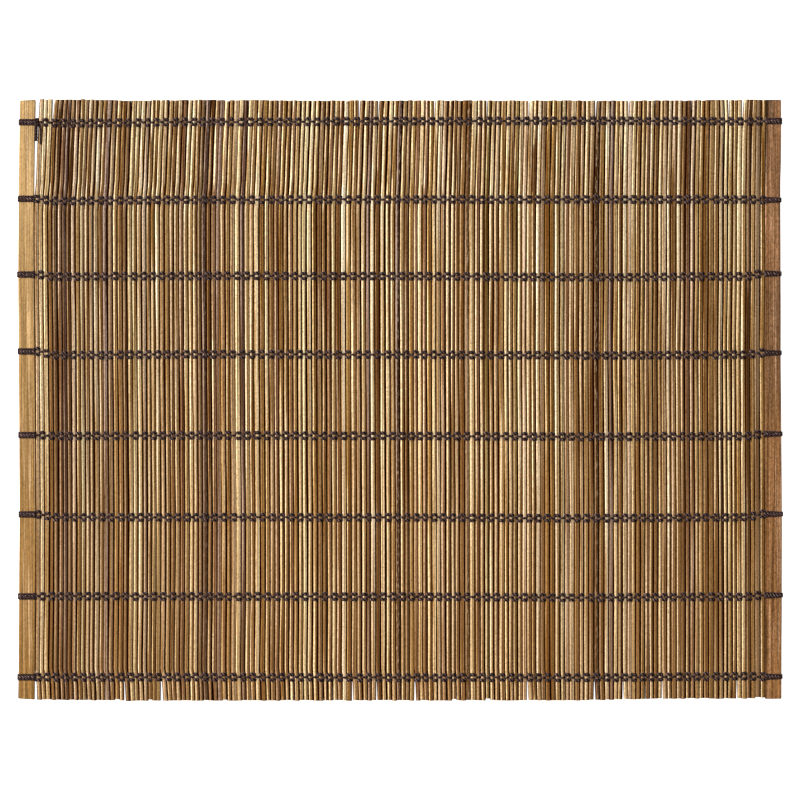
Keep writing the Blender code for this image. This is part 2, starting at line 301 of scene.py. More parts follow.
def makeReedFinish(look):
    finish, tree = newFinish("splitBamboo")
    coords = put(tree, "ShaderNodeTexCoord").outputs["Object"]
    place = xyzOf(tree, coords)[1]
    seed = attribute(tree, "stickSeed")
    across = attribute(tree, "across")
    patterns = ("fine", "fibre", "streak", "drift", "fleck")
    fine, fibre, streak, drift, fleck = [streakNoise(tree, coords, seed, *look[name]) for name in patterns]
    # the light and the dark side of the stick, parted by a line that wanders: partly two-tone bamboo,
    # partly painted light on the left side and painted shade on the right
    side = calc(tree, "MULTIPLY_ADD", streak, look["splitWander"], across)
    side = calc(tree, "ADD", drift, side)
    side = calc(tree, "ADD", side, attribute(tree, "split"))
    sides = [attribute(tree, name, "Color") for name in ("toneA", "toneB")]
    colour = mixColour(tree, ramp(tree, side, *look["splitReach"]), *sides)
    # long grain and short fibres
    grain = ramp(tree, fine, *look["fineReach"])
    colour = tinted(tree, colour, mixColour(tree, grain, look["shadedTint"], look["litTint"]))
    colour = shadeBy(tree, colour, fibre, look["fibreReach"], look["fibreShade"])
    # painted sheen: shoulders paler than the middle, in bands that wander
    shoulder = calc(tree, "MULTIPLY_ADD", streak, look["shoulderWander"], across)
    shoulder = calc(tree, "COSINE", calc(tree, "MULTIPLY", shoulder, 2 * math.pi))
    colour = shade(tree, colour, calc(tree, "MULTIPLY_ADD", shoulder, look["shoulderSheen"], 1.0))
    # dark specks, and pale scratches on the sticks that have them
    specks = ramp(tree, fleck, *look["fleckReach"], 0.0, look["fleckShare"])
    colour = mixColour(tree, specks, colour, look["groove"])
    scratched = ramp(tree, fleck, *look["scratchReach"])
    scratched = calc(tree, "MULTIPLY", scratched, attribute(tree, "scratched"))
    colour = mixColour(tree, scratched, colour, look["scratch"])
    # darker and duller towards the lower end
    upward = ramp(tree, place, cadLow.y, cadHigh.y)
    colour = tinted(tree, colour, mixColour(tree, upward, look["bottom"], look["top"]))
    dull = ramp(tree, place, cadLow.y, cadHigh.y * 0.3, look["dullShare"], 0.0)
    colour = mixColour(tree, dull, colour, look["dulled"])
    # painted shade on the flanks, down to a painted dark line of shadow between two sticks
    sideways = calc(tree, "ABSOLUTE", across)
    sideways = calc(tree, "MULTIPLY_ADD", streak, look["flankWander"], sideways)
    flank = ramp(tree, sideways, *look["flankReach"])
    colour = tinted(tree, colour, mixColour(tree, flank, (1.0, 1.0, 1.0), look["flank"]))
    colour = mixColour(tree, ramp(tree, sideways, *look["grooveReach"]), colour, look["groove"])
    colour = endGrain(tree, coords, colour, look["cutPale"], look["cutDark"])
    finishUp(tree, colour, fine, look["bump"], *look["rough"], specular=0.0)
    return finish


slatGrain = dict(
    # patterns: changes per metre across, along and through a slat, then detail and roughness
    fine=((1300, 14, 1300), 3.0, 0.7),
    broad=((520, 5, 520), 2.0, 0.5),
    pale=((1100, 16, 1100), 2.0, 0.5),
    flecks=((1700, 700, 1700), 2.0, 0.6),
    # between which values of its pattern each of them fills in
    fineReach=(0.38, 0.62),
    broadReach=(0.42, 0.68),
    paleReach=(0.52, 0.70),
    fleckReach=(0.34, 0.66),
    fineShade=(0.66, 1.30),
    # places across a slat, from -1 at its outer edge to 1 at its inner one
    grooveAt=(0.925, 0.965),
    rimAt=(-0.96, -1.0),
    stripAt=(0.68, 0.80),
    tipAt=(-0.3, 0.4),
    # places along a slat, from the mat's middle
    endDarkFrom=(matLength / 2 - 1.8 * mm, matLength / 2 - 0.7 * mm),
    stripFrom=(115 * mm, 140 * mm),
    tipFrom=(163 * mm, 168 * mm),
    bandPlace=30 * mm,
    bandReach=(28 * mm, 62 * mm),
    # darker near the cut ends, and painted shade along the inner and outer long edges
    endDarkness=0.55,
    grooveShade=0.3,
    rimShade=0.6,
    cutPale=linear(190, 160, 118),
    cutDark=linear(110, 82, 50),
    bump=0.04 * mm,
    rough=(0.42, 0.58),
)
slatFinishes = dict(
    leftSlat=dict(
        streaky=0.5,
        flecked=(1.18, 0.82),
        top=linear(189, 152, 101),
        bottom=linear(153, 111, 59),
        streak=linear(146, 110, 66),
        pale=linear(232, 196, 150),
        strip=1.0,
        tip=1.0,
        band=1.0,
    ),
    rightSlat=dict(
        streaky=0.65,
        flecked=(1.30, 0.66),
        top=linear(151, 109, 75),
        bottom=linear(156, 110, 68),
        streak=linear(88, 52, 22),
        pale=linear(214, 168, 130),
        strip=0.55,  # shade of the inner edge near both ends
        tip=0.45,  # of the inner half above the first row
        band=0.76,  # of the slat's middle
    ),
)


def makeSlatFinish(name, grain, look):
    finish, tree = newFinish(name + "Bamboo")
    coords = put(tree, "ShaderNodeTexCoord").outputs["Object"]
    patterns = ("fine", "broad", "pale", "flecks")
    fine, broad, pale, flecks = [streakNoise(tree, coords, None, *grain[name]) for name in patterns]
    place = xyzOf(tree, coords)[1]
    reach = calc(tree, "ABSOLUTE", place)
    inward = attribute(tree, "inward")
    # the planed face and its grain
    colour = mixColour(tree, ramp(tree, place, cadLow.y, cadHigh.y), look["bottom"], look["top"])
    streaks = ramp(tree, broad, *grain["broadReach"], 0.0, look["streaky"])
    colour = mixColour(tree, streaks, colour, look["streak"])
    streaks = ramp(tree, pale, *grain["paleReach"], 0.0, look["streaky"])
    colour = mixColour(tree, streaks, colour, look["pale"])
    colour = shadeBy(tree, colour, fine, grain["fineReach"], grain["fineShade"])
    colour = shadeBy(tree, colour, flecks, grain["fleckReach"], look["flecked"])
    # darker near the cut ends, and painted shade along both long edges, darkest at the inner edge beside
    # the sticks
    colour = shadeBy(tree, colour, reach, grain["endDarkFrom"], (1.0, grain["endDarkness"]))
    colour = shadeBy(tree, colour, inward, grain["grooveAt"], (1.0, grain["grooveShade"]))
    colour = shadeBy(tree, colour, inward, grain["rimAt"], (1.0, grain["rimShade"]))
    # a darker strip along the inner edge, a darker tip and a darker band across the middle
    for spot, along in (("strip", reach), ("tip", place)):
        inner = ramp(tree, inward, *grain[spot + "At"])
        both = calc(tree, "MULTIPLY", inner, ramp(tree, along, *grain[spot + "From"]))
        colour = shadeBy(tree, colour, both, (0.0, 1.0), (1.0, look[spot]))
    fromBand = calc(tree, "ABSOLUTE", calc(tree, "SUBTRACT", place, grain["bandPlace"]))
    colour = shadeBy(tree, colour, fromBand, grain["bandReach"], (look["band"], 1.0))
    colour = endGrain(tree, coords, colour, grain["cutPale"], grain["cutDark"])
    finishUp(tree, colour, fine, grain["bump"], *grain["rough"], specular=0.0)
    return finish


twineFinish = dict(
    # painted shade in the groove between the two threads
    groove=linear(20, 7, 6),
    thread=linear(54, 31, 28),
    # pale on the thread crests: partly rubbed wear, partly painted highlight
    wearAndHighlight=linear(150, 124, 116),
    fluff=((2000, 2000, 2000), 3.0, 0.7),
    patch=((1000, 1000, 1000), 2.0, 0.5),
    threadReach=(-0.9, 0.5),
    wearAndHighlightReach=(0.0, 0.9),
    patchReach=(0.40, 0.60),
    fluffReach=(0.36, 0.64),
    patchShare=(0.1, 1.0),
    fluffShade=(0.30, 1.8),
    yarnAlong=900.0,  # how closely and how steeply the single yarns wind
    yarnAround=60.0,
    yarnHeight=0.15,
    bump=0.06 * mm,
    rough=(0.55, 0.75),
)


def makeTwineFinish(look):
    finish, tree = newFinish("waxedTwine")
    coords = put(tree, "ShaderNodeTexCoord").outputs["Object"]
    around = attribute(tree, "around")
    fluff, patch = [streakNoise(tree, coords, None, *look[name]) for name in ("fluff", "patch")]
    # two threads, with painted shade in the groove between them, and pale in patches on their crests:
    # partly rubbed wear, partly painted highlight
    lobe = calc(tree, "COSINE", calc(tree, "MULTIPLY", around, 4 * math.pi))
    thread = ramp(tree, lobe, *look["threadReach"])
    colour = mixColour(tree, thread, look["groove"], look["thread"])
    wearAndHighlight = ramp(tree, patch, *look["patchReach"], *look["patchShare"])
    wearAndHighlight = calc(tree, "MULTIPLY", ramp(tree, lobe, *look["wearAndHighlightReach"]), wearAndHighlight)
    wearAndHighlight = calc(tree, "MULTIPLY", wearAndHighlight, attribute(tree, "light"))
    colour = mixColour(tree, wearAndHighlight, colour, look["wearAndHighlight"])
    colour = shadeBy(tree, colour, fluff, look["fluffReach"], look["fluffShade"])
    # single yarns in the relief
    turned = calc(tree, "MULTIPLY", around, look["yarnAround"])
    turned = calc(tree, "MULTIPLY_ADD", attribute(tree, "along"), look["yarnAlong"], turned)
    yarn = calc(tree, "MULTIPLY", calc(tree, "SINE", turned), look["yarnHeight"])
    height = calc(tree, "ADD", yarn, fluff)
    finishUp(tree, colour, height, look["bump"], *look["rough"], sheen=0.08, specular=0.1)
    return finish


# geometry node trees

def newTree(name, sockets):
    tree = bpy.data.node_groups.new(name, "GeometryNodeTree")
    tree.interface.new_socket("Geometry", in_out="OUTPUT", socket_type="NodeSocketGeometry")
    tree.interface.new_socket("Geometry", in_out="INPUT", socket_type="NodeSocketGeometry")
    for label, kind in sockets:
        tree.interface.new_socket(label, in_out="INPUT", socket_type="NodeSocket" + kind)
    return tree, put(tree, "NodeGroupInput")


def capture(tree, geometry, kind, value):
    node = tree.nodes.new("GeometryNodeCaptureAttribute")
    node.capture_items.new(kind, "held")
    tree.links.new(geometry, node.inputs["Geometry"])
    tree.links.new(value, node.inputs["held"])
    return node.outputs["Geometry"], node.outputs["held"]


def named(tree, name):
    return put(tree, "GeometryNodeInputNamedAttribute", {"Name": name}).outputs["Attribute"]


def store(tree, geometry, name, value):
    inputs = {"Geometry": geometry, "Name": name, "Value": value}
    return put(tree, "GeometryNodeStoreNamedAttribute", inputs, data_type="FLOAT").outputs[0]


def closeTree(tree, geometry, material):
    smooth = put(tree, "GeometryNodeSetShadeSmooth", {"Geometry": geometry}).outputs[0]
    real = put(tree, "GeometryNodeRealizeInstances", {"Geometry": smooth}).outputs[0]
    inputs = {"Geometry": real, "Material": material}
    dressed = put(tree, "GeometryNodeSetMaterial", inputs).outputs[0]
    put(tree, "NodeGroupOutput", {"Geometry": dressed})


def circle(tree, sides):
    inputs = {"Resolution": sides, "Radius": 1.0}
    return put(tree, "GeometryNodeCurvePrimitiveCircle", inputs).outputs[0]


def sweep(tree, line, ring):
    inputs = {"Curve": line, "Profile Curve": ring, "Fill Caps": True}
    return put(tree, "GeometryNodeCurveToMesh", inputs).outputs[0]


def moveTo(tree, geometry, place):
    inputs = {"Geometry": geometry, "Position": place}
    return put(tree, "GeometryNodeSetPosition", inputs).outputs[0]


def roundedPower(tree, value, power):
    size = calc(tree, "POWER", calc(tree, "ABSOLUTE", value), power)
    return calc(tree, "MULTIPLY", size, calc(tree, "SIGN", value))


def makeStickTree():
    sockets = [("Sides", "Int"), ("Dent depth", "Float"), ("Seed", "Float"), ("Finish", "Material")]
    tree, given = newTree("stickSweep", sockets)
    line = put(tree, "GeometryNodeMeshToCurve", {"Mesh": given.outputs["Geometry"]}).outputs[0]
    place = put(tree, "GeometryNodeInputPosition").outputs[0]
    line, centre = capture(tree, line, "VECTOR", place)
    swept = sweep(tree, line, circle(tree, given.outputs["Sides"]))
    # the round section squared off, narrowed towards its top and leaned over
    out = xyzOf(tree, vectorCalc(tree, "SUBTRACT", place, centre))
    x, z = [roundedPower(tree, out[axis], named(tree, "corner")) for axis in (0, 2)]
    up = calc(tree, "MAXIMUM", z, 0.0)
    narrowed = calc(tree, "SUBTRACT", 1.0, calc(tree, "MULTIPLY", up, named(tree, "taper")))
    x = calc(tree, "MULTIPLY", x, narrowed)
    x = calc(tree, "ADD", x, calc(tree, "MULTIPLY", up, named(tree, "skew")))
    wide = calc(tree, "MULTIPLY", x, named(tree, "halfWidth"))
    thick = calc(tree, "MULTIPLY", z, named(tree, "halfThick"))
    inputs = {"Vector": joined(tree, wide, 0.0, thick), "Angle": named(tree, "roll")}
    turned = put(tree, "ShaderNodeVectorRotate", inputs, rotation_type="Y_AXIS").outputs[0]
    # shallow dents drawn out along the stick, other ones on each stick
    spot = vectorCalc(tree, "MULTIPLY", centre, (0.0, 55.0, 0.0))
    spot = vectorCalc(tree, "ADD", spot, turned)
    spot = vectorCalc(tree, "ADD", spot, joined(tree, named(tree, "stickSeed"), 0.0, x))
    inputs = {"Vector": spot, "W": given.outputs["Seed"], "Scale": 1.0, "Detail": 2.0}
    dent = put(tree, "ShaderNodeTexNoise", inputs, noise_dimensions="4D").outputs["Fac"]
    swell = calc(tree, "MULTIPLY", calc(tree, "SUBTRACT", dent, 0.5), given.outputs["Dent depth"])
    outward = put(tree, "ShaderNodeVectorMath", {0: turned}, operation="NORMALIZE").outputs[0]
    moved = vectorCalc(tree, "ADD", turned, scaled(tree, outward, swell))
    shaped = store(tree, swept, "across", out[0])
    shaped = moveTo(tree, shaped, vectorCalc(tree, "ADD", centre, moved))
    closeTree(tree, shaped, given.outputs["Finish"])
    return tree


def makeStrandTree():
    sockets = [("Sides", "Int"), ("Ring gap", "Float"), ("Twist pitch", "Float")]
    sockets += [("Lobe depth", "Float"), ("Half size", "Vector"), ("Finish", "Material")]
    tree, given = newTree("strandSweep", sockets)
    line = put(tree, "GeometryNodeMeshToCurve", {"Mesh": given.outputs["Geometry"]}).outputs[0]
    kind = "GeometryNodeCurveSplineType"
    line = put(tree, kind, {"Curve": line}, spline_type="CATMULL_ROM").outputs[0]
    inputs = {"Curve": line, "Length": given.outputs["Ring gap"]}
    line = put(tree, "GeometryNodeResampleCurve", inputs, mode="LENGTH").outputs[0]
    place = put(tree, "GeometryNodeInputPosition").outputs[0]
    length = put(tree, "GeometryNodeSplineParameter").outputs["Length"]
    line, centre = capture(tree, line, "VECTOR", place)
    line = store(tree, line, "along", length)
    turn = calc(tree, "MULTIPLY", length, 2 * math.pi)
    turn = calc(tree, "DIVIDE", turn, given.outputs["Twist pitch"])
    line = put(tree, "GeometryNodeSetCurveTilt", {"Curve": line, "Tilt": turn}).outputs[0]
    # a ring drawn in on two sides, as two threads twisted together
    ring = circle(tree, given.outputs["Sides"])
    spot = xyzOf(tree, place)
    twoLobes = calc(tree, "SUBTRACT", *[calc(tree, "POWER", spot[axis], 2.0) for axis in (0, 1)])
    waist = calc(tree, "SUBTRACT", twoLobes, 1.0)
    reach = calc(tree, "MULTIPLY_ADD", waist, given.outputs["Lobe depth"], 1.0)
    ring = moveTo(tree, ring, scaled(tree, place, reach))
    around = put(tree, "GeometryNodeSplineParameter").outputs["Factor"]
    swept = sweep(tree, line, store(tree, ring, "around", around))
    out = vectorCalc(tree, "SUBTRACT", place, centre)
    out = vectorCalc(tree, "MULTIPLY", out, given.outputs["Half size"])
    out = scaled(tree, out, named(tree, "fat"))
    shaped = moveTo(tree, swept, vectorCalc(tree, "ADD", centre, out))
    closeTree(tree, shaped, given.outputs["Finish"])
    return tree


def guideLines(name, lines, floats=None, colours=None):
    data = bpy.data.meshes.new(name)
    points, edges = [], []
    for line in lines:
        edges += [(len(points) + i, len(points) + i + 1) for i in range(len(line) - 1)]
        points += line
    data.from_pydata(points, edges, [])
    for label, values in (floats or {}).items():
        data.attributes.new(label, "FLOAT", "POINT").data.foreach_set("value", values)
    for label, values in (colours or {}).items():
        data.attributes.new(label, "FLOAT_COLOR", "POINT").data.foreach_set("color", values)
    return data


def runTree(name, data, tree, values):
    guide = bpy.data.objects.new(name + "Guide", data)
    bpy.context.scene.collection.objects.link(guide)
    modifier = guide.modifiers.new("make", "NODES")
    modifier.node_group = tree
    for item in tree.interface.items_tree:
        if item.in_out == "INPUT" and item.name in values:
            modifier[item.identifier] = values[item.name]
    graph = bpy.context.evaluated_depsgraph_get()
    made = bpy.data.meshes.new_from_object(guide.evaluated_get(graph))
    bpy.data.objects.remove(guide)
    return addPiece(name, made)


def addPiece(name, data):
    shell = bmesh.new()
    shell.from_mesh(data)
    bmesh.ops.recalc_face_normals(shell, faces=shell.faces)
    shell.to_mesh(data)
    shell.free()
    data.set_sharp_from_angle(angle=math.radians(50))
    data.name = name
    piece = bpy.data.objects.new(name, data)
    bpy.context.scene.collection.objects.link(piece)
    print(name, len(data.polygons), "faces")
    return piece


# sticks

reeds = dict(
    count=155,
    cutSeed=7,  # the same draws as the solids' sticks
    widthSpread=0.11,
    endJitter=0.5,  # mm
    shortShare=0.03,  # of the ends are cut shorter still
    shortLoss=1.2,
    characterSeed=21,
    bright=(0.92, 1.07),
    twoToneShare=0.45,
    split=(-0.5, 0.7),
    thin=(0.93, 1.0),
    dealHand=22,  # sticks in which each tone gets its share
    dealMixing=60,
    sides=14,
    press=0.16,  # mm that neighbours press into each other where they are widest
    endSlim=0.02,
    endSlimRun=1.6,
    endSplay=0.10,
    corner=(0.50, 0.88),  # from boxy to almost round
    taper=(0.02, 0.32),
    taperDrift=0.10,
    skew=0.10,
    skewDrift=0.08,
    roll=10,  # degrees, at most
    rise=0.12,  # mm
    wander=0.12,
    flow=0.35,  # mm that neighbours bend together
    flowTurn=9,
    dents=0.10,
    easedEnd=0.14,
    # how full the section is near a cut end, by the share of that easing
    endShape=((0.0, 0.90), (0.35, 0.97), (1.0, 1.0)),
    stationGap=9.6,
    settlePasses=60,
    # gaps between two sticks' ends: place across the field and width in mm, at the cut end
    slits=dict(
        top=(
            (0.0179, 1.5), (0.4349, 1.2), (0.4609, 1.0), (0.5421, 1.0), (0.6131, 0.9),
            (0.673, 1.0), (0.7655, 1.2), (0.8107, 1.0), (0.9432, 1.0), (0.9651, 1.3),
        ),
        bottom=(
            (0.1157, 1.1), (0.169, 1.8), (0.4289, 1.2), (0.4619, 1.0), (0.5133, 1.5),
            (0.6695, 1.3), (0.764, 1.4), (0.8035, 1.1), (0.855, 1.1), (0.9585, 1.1),
        ),
    ),
    # light and dark side of each kind of stick as they read in the light, and how common it is; partly
    # two-tone bamboo, partly a painted lit side and a painted shaded side
    tones=(
        dict(name="cream", light=(235, 213, 178), dark=(188, 156, 108), share=14),
        dict(name="straw", light=(233, 208, 166), dark=(171, 133, 84), share=28),
        dict(name="gold", light=(230, 202, 155), dark=(157, 117, 64), share=28),
        dict(name="tan", light=(223, 196, 156), dark=(149, 111, 68), share=24),
        dict(name="rose", light=(212, 183, 151), dark=(148, 110, 79), share=15),
        dict(name="olive", light=(209, 189, 146), dark=(140, 112, 66), share=8),
        dict(name="brown", light=(200, 169, 130), dark=(119, 83, 47), share=16),
        dict(name="umber", light=(154, 124, 92), dark=(86, 57, 30), share=8),
        dict(name="plum", light=(157, 131, 113), dark=(94, 68, 54), share=6),
    ),
    # how much lighter or darker the sticks get across the mat
    toneDrift=(
        dict(place=0.0, tone=0.90),
        dict(place=0.15, tone=0.92),
        dict(place=0.3, tone=1.10),
        dict(place=0.55, tone=1.12),
        dict(place=0.75, tone=1.04),
        dict(place=0.9, tone=0.96),
        dict(place=1.0, tone=0.98),
    ),
    # sticks that stand out, by their place across the field
    marked=(
        dict(place=0.003, tone="brown", scratched=0.0),
        dict(place=0.045, tone="umber", scratched=0.0),
        dict(place=0.095, tone="plum", scratched=0.3),
        dict(place=0.125, tone="umber", scratched=0.0),
        dict(place=0.145, tone="cream", scratched=0.0),
        dict(place=0.234, tone="plum", scratched=0.3),
        dict(place=0.497, tone="plum", scratched=0.9),
        dict(place=0.593, tone="umber", scratched=0.6),
        dict(place=0.766, tone="umber", scratched=0.6),
        dict(place=0.975, tone="umber", scratched=0.0),
    ),
)


def cutSticks(part):
    chance = random.Random(part["cutSeed"])
    widths = [1 + part["widthSpread"] * chance.uniform(-1, 1) for _ in range(part["count"])]
    total, done, sticks = sum(widths), 0.0, []
    for width in widths:
        stick = dict(left=done / total, right=(done + width) / total)
        for side in ("top", "bottom"):
            stick[side] = part["endJitter"] * mm * chance.random()
            if chance.random() < part["shortShare"]:
                stick[side] += part["shortLoss"] * mm * chance.random()
        sticks.append(stick)
        done += width
    for side, row in (("top", twineLines[0]), ("bottom", twineLines[-1])):
        rowY = matLength / 2 - row["fromTop"] * mm
        for stick in sticks:
            stick[side] += endInset(side, fieldX(stick["left"], rowY))
        least = min(stick[side] for stick in sticks)
        for stick in sticks:
            stick[side] -= least
    return sticks


def dealTones(part, chance, count):
    # every run of neighbours gets its share of each kind, pale and dark by turns
    tones, mixing = part["tones"], part["dealMixing"]
    total = sum(tone["share"] for tone in tones)
    dealt, owed = [], [0.0] * len(tones)
    while len(dealt) < count:
        deck = []
        for index, tone in enumerate(tones):
            owed[index] += part["dealHand"] * tone["share"] / total
            while owed[index] >= 0.5:
                deck.append(tone)
                owed[index] -= 1
        deck.sort(key=lambda tone: sum(tone["light"]) + chance.uniform(-mixing, mixing))
        dark, pale = deck[:len(deck) // 2], deck[len(deck) // 2:]
        chance.shuffle(dark)
        chance.shuffle(pale)
        while dark or pale:
            dealt += [half.pop() for half in (dark, pale) if half]
    return dealt[:count]


def characterSticks(part, sticks):
    chance = random.Random(part["characterSeed"])
    tones = dealTones(part, chance, len(sticks))
    others = dealTones(part, chance, len(sticks))
    for stick, tone, other in zip(sticks, tones, others):
        stick["middle"] = (stick["left"] + stick["right"]) / 2
        drift = readTable(part["toneDrift"], "place", "tone", stick["middle"])
        bright = chance.uniform(*part["bright"]) * drift
        darkFrom = other if chance.random() < part["twoToneShare"] else tone
        stick["toneA"] = [c * bright for c in linear(*tone["light"])]
        stick["toneB"] = [c * bright for c in linear(*darkFrom["dark"])]
        stick["split"] = chance.uniform(*part["split"])
        stick["seed"] = chance.uniform(0, 50)
        stick["scratched"] = 0.0
        stick["corner"] = chance.uniform(*part["corner"])
        stick["taper"] = chance.uniform(*part["taper"])
        stick["skew"] = part["skew"] * chance.uniform(-1, 1)
        stick["roll"] = math.radians(part["roll"]) * chance.uniform(-1, 1)
        stick["lift"] = part["rise"] * mm * chance.uniform(-1, 1)
        stick["thin"] = chance.uniform(*part["thin"])
        for key in ("waves", "taperWaves", "skewWaves"):
            stick[key] = makeWaves(chance)
        stick["splay"] = {}
        for side in ("top", "bottom"):
            stick["splay"][side] = part["endSplay"] * mm * chance.uniform(-1, 1)
    kinds = {tone["name"]: tone for tone in part["tones"]}
    for mark in part["marked"]:
        nearest = min(sticks, key=lambda stick: abs(stick["middle"] - mark["place"]))
        tone = kinds[mark["tone"]]
        nearest["toneA"], nearest["toneB"] = linear(*tone["light"]), linear(*tone["dark"])
        nearest["scratched"] = mark["scratched"]
    return sticks


def makeWaves(chance, shortest=60, longest=240):
    waves = []
    for _ in range(3):
        length = chance.uniform(shortest, longest) * mm
        turn = chance.uniform(0, 2 * math.pi)
        waves.append(dict(length=length, turn=turn, size=chance.uniform(0.2, 1)))
    return waves


def readWaves(waves, y, turned=0.0):
    height = 0.0
    for wave in waves:
        turn = 2 * math.pi * y / wave["length"] + wave["turn"] + turned
        height += wave["size"] * math.sin(turn)
    return height / len(waves)


def pastRow(y):
    # how far towards the cut end, 0 at the outer row and 1 at the end
    row = twineLines[0 if y > 0 else -1]
    rowY = matLength / 2 - row["fromTop"] * mm
    return max(0.0, (abs(y) - abs(rowY)) / (matLength / 2 - abs(rowY)))


def widthAt(part, stick, y):
    width = fieldX(stick["right"], y) - fieldX(stick["left"], y) + part["press"] * mm
    return width * (1 - part["endSlim"] * min(1.0, part["endSlimRun"] * pastRow(y)))


def slitAt(part, stick, y):
    # width of the gap on the right of a stick
    gap = 0.0
    for place, wide in part["slits"]["top" if y > 0 else "bottom"]:
        if stick["left"] < place <= stick["right"]:
            gap += wide * mm
    return gap * pastRow(y) ** 0.5


def spaceSticks(part, sticks):
    # the sticks bend as they like, then neighbours push each other apart
    press = part["press"] * mm
    steps = round(matLength / (part["stationGap"] * mm))
    ys = [matLength * (i / steps - 0.5) for i in range(steps + 1)]
    flow = makeWaves(random.Random(part["cutSeed"]), 150, 420)
    for stick in sticks:
        stick["run"], stick["ys"] = [], ys
    for y in ys:
        side = "top" if y > 0 else "bottom"
        halves = [widthAt(part, stick, y) / 2 for stick in sticks]
        apart = [slitAt(part, stick, y) - 2 * press for stick in sticks]
        places = []
        for stick in sticks:
            share = stick["middle"]
            bend = part["wander"] * mm * readWaves(stick["waves"], y)
            shared = part["flow"] * mm * readWaves(flow, y, part["flowTurn"] * share)
            bend += 4 * share * (1 - share) * shared  # none at the slats
            places.append(fieldX(share, y) + bend + stick["splay"][side] * pastRow(y))
        for _ in range(part["settlePasses"]):
            for i in range(len(places) - 1):
                short = halves[i] + halves[i + 1] + apart[i] - (places[i + 1] - places[i])
                if short > 0:
                    places[i] -= short / 2
                    places[i + 1] += short / 2
            places[0] = fieldX(0, y) + halves[0] - press / 2
            places[-1] = fieldX(1, y) - halves[-1] + press / 2
        for stick, x in zip(sticks, places):
            stick["run"].append(x)
    return sticks


def stickX(stick, y):
    ys, run = stick["ys"], stick["run"]
    place = (y - ys[0]) / (ys[1] - ys[0])
    i = min(len(ys) - 2, max(0, int(place)))
    return run[i] + (run[i + 1] - run[i]) * (place - i)


def makeReeds(part, sticks, tree, finish):
    perStick = ("corner", "roll", "split", "scratched")
    perRing = ("halfWidth", "halfThick", "stickSeed", "taper", "skew")
    floats = {key: [] for key in perRing + perStick}
    colours = {"toneA": [], "toneB": []}
    ease = part["easedEnd"] * mm
    lines = []
    for stick in sticks:
        top = matLength / 2 - stick["top"]
        bottom = -matLength / 2 + stick["bottom"]
        stations = [(bottom + ease * share, scale) for share, scale in part["endShape"]]
        stations += [(y, 1.0) for y in stick["ys"] if bottom + 3 * ease < y < top - 3 * ease]
        stations += [(top - ease * share, scale) for share, scale in reversed(part["endShape"])]
        lines.append([(stickX(stick, y), y, stickMiddle + stick["lift"]) for y, _ in stations])
        for y, scale in stations:
            taper = part["taperDrift"] * readWaves(stick["taperWaves"], y)
            skew = part["skewDrift"] * readWaves(stick["skewWaves"], y)
            floats["halfWidth"].append(widthAt(part, stick, y) / 2 * scale)
            floats["halfThick"].append(stickHalfThick * stick["thin"] * scale)
            floats["stickSeed"].append(stick["seed"])
            floats["taper"].append(stick["taper"] + taper)
            floats["skew"].append(stick["skew"] + skew)
            for key in perStick:
                floats[key].append(stick[key])
            for key in colours:
                colours[key] += [*stick[key], 1.0]
    data = guideLines("reedLines", lines, floats, colours)
    values = {"Sides": part["sides"], "Dent depth": part["dents"] * mm, "Seed": 3.0, "Finish": finish}
    return runTree("splitReeds", data, tree, values)


# slats

slats = dict(
    stations=56,
    sides=24,
    corner=0.34,  # the smaller, the sharper
    sideCorner=0.187,
    wear=0.02,  # mm, in each of the waves along the edges
    ease=0.4,
    easeDepth=0.7,
    # how far the corners of each end lie inside the mat's length, in mm
    ends=dict(
        left=dict(top=(0.9, 0.5), bottom=(1.45, 0.95)),
        right=dict(top=(0.55, 0.5), bottom=(1.4, 1.3)),
    ),
)


def makeSlat(part, side, finish, seed):
    chance = random.Random(seed)
    shell = bmesh.new()
    waves = [(chance.uniform(40, 130) * mm, chance.uniform(0, 2 * math.pi)) for _ in range(3)]
    outward = -1 if side == "left" else 1
    ease = part["ease"] * mm
    steps = [0, 0.3 * ease, ease]
    span = matLength - 2 * ease
    ys = [-matLength / 2 + step for step in steps]
    ys += [ys[-1] + span * (i + 1) / part["stations"] for i in range(part["stations"] - 1)]
    ys += [matLength / 2 - step for step in reversed(steps)]
    rings, inwards = [], []
    for y in ys:
        a, b = sorted((edgeX(side + "Out", y), edgeX(side + "In", y)))
        uneven = sum(math.sin(y / wave * 2 * math.pi + turn) for wave, turn in waves)
        uneven *= part["wear"] * mm
        nearEnd = 1 - min(1.0, (matLength / 2 - abs(y)) / ease)
        tight = part["easeDepth"] * ease * nearEnd ** 2
        wide, thick = (b - a) / 2 - tight, stickHalfThick - tight
        outer, inner = part["ends"][side]["top" if y > 0 else "bottom"]
        ring = []
        for k in range(part["sides"]):
            turn = 2 * math.pi * (k + 0.5) / part["sides"]
            c, s = math.cos(turn), math.sin(turn)
            across = math.copysign(abs(c) ** part["sideCorner"], c)
            x = (a + b) / 2 + across * wide + uneven * (c > 0)
            z = stickMiddle + math.copysign(abs(s) ** part["corner"], s) * thick
            inset = (outer + inner) / 2 + across * outward * (outer - inner) / 2
            ring.append(shell.verts.new((x, y * (1 - inset * mm / (matLength / 2)), z)))
            inwards.append(-outward * across)
        rings.append(ring)
    for low, high in zip(rings, rings[1:]):
        for k in range(len(low)):
            j = (k + 1) % len(low)
            shell.faces.new((low[k], low[j], high[j], high[k])).smooth = True
    shell.faces.new(rings[0])
    shell.faces.new(rings[-1])
    data = bpy.data.meshes.new(side + "Slat")
    shell.to_mesh(data)
    shell.free()
    data.attributes.new("inward", "FLOAT", "POINT").data.foreach_set("value", inwards)
    data.materials.append(finish)
    return addPiece(side + "Slat", data)


# twine

